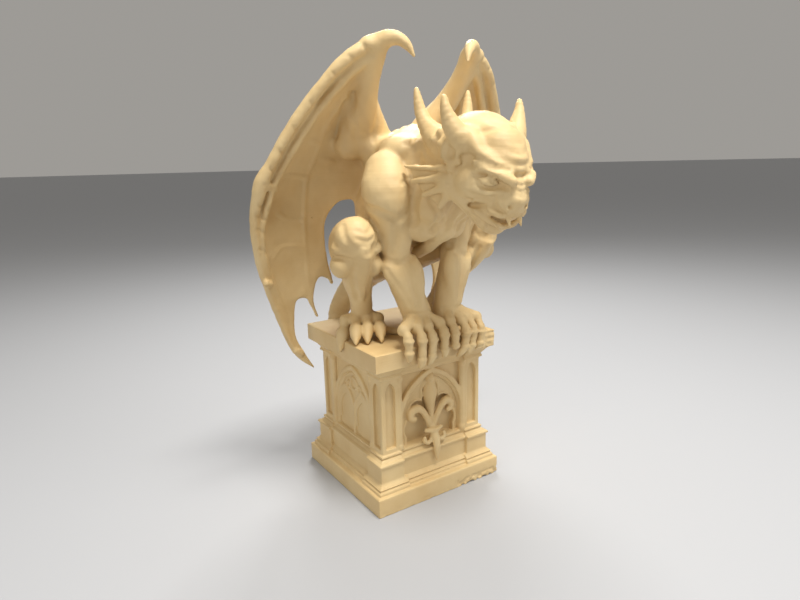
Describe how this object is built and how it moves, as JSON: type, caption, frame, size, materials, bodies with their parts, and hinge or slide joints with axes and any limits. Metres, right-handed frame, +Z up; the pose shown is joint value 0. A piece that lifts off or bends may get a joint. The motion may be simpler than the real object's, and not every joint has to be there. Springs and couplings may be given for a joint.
{
  "type": "gargoyle figurine",
  "caption": "Winged gargoyle crouching on a square Gothic plinth, a small 3-D print in cream plastic with visible layers.",
  "frame": {"origin": "centre of the plinth's underside, on the surface that it stands on", "axes": "+Z up, the figure and the plinth's front face look along -Y, +X is the figure's own left"},
  "size_m": [0.1424, 0.1274, 0.2043],
  "materials": {
    "print": "satin filament print in cream, with fine level layer lines"
  },
  "bodies": {
    "root": {"plinth": "print", "gargoyle": "print"}
  },
  "joints": []
}
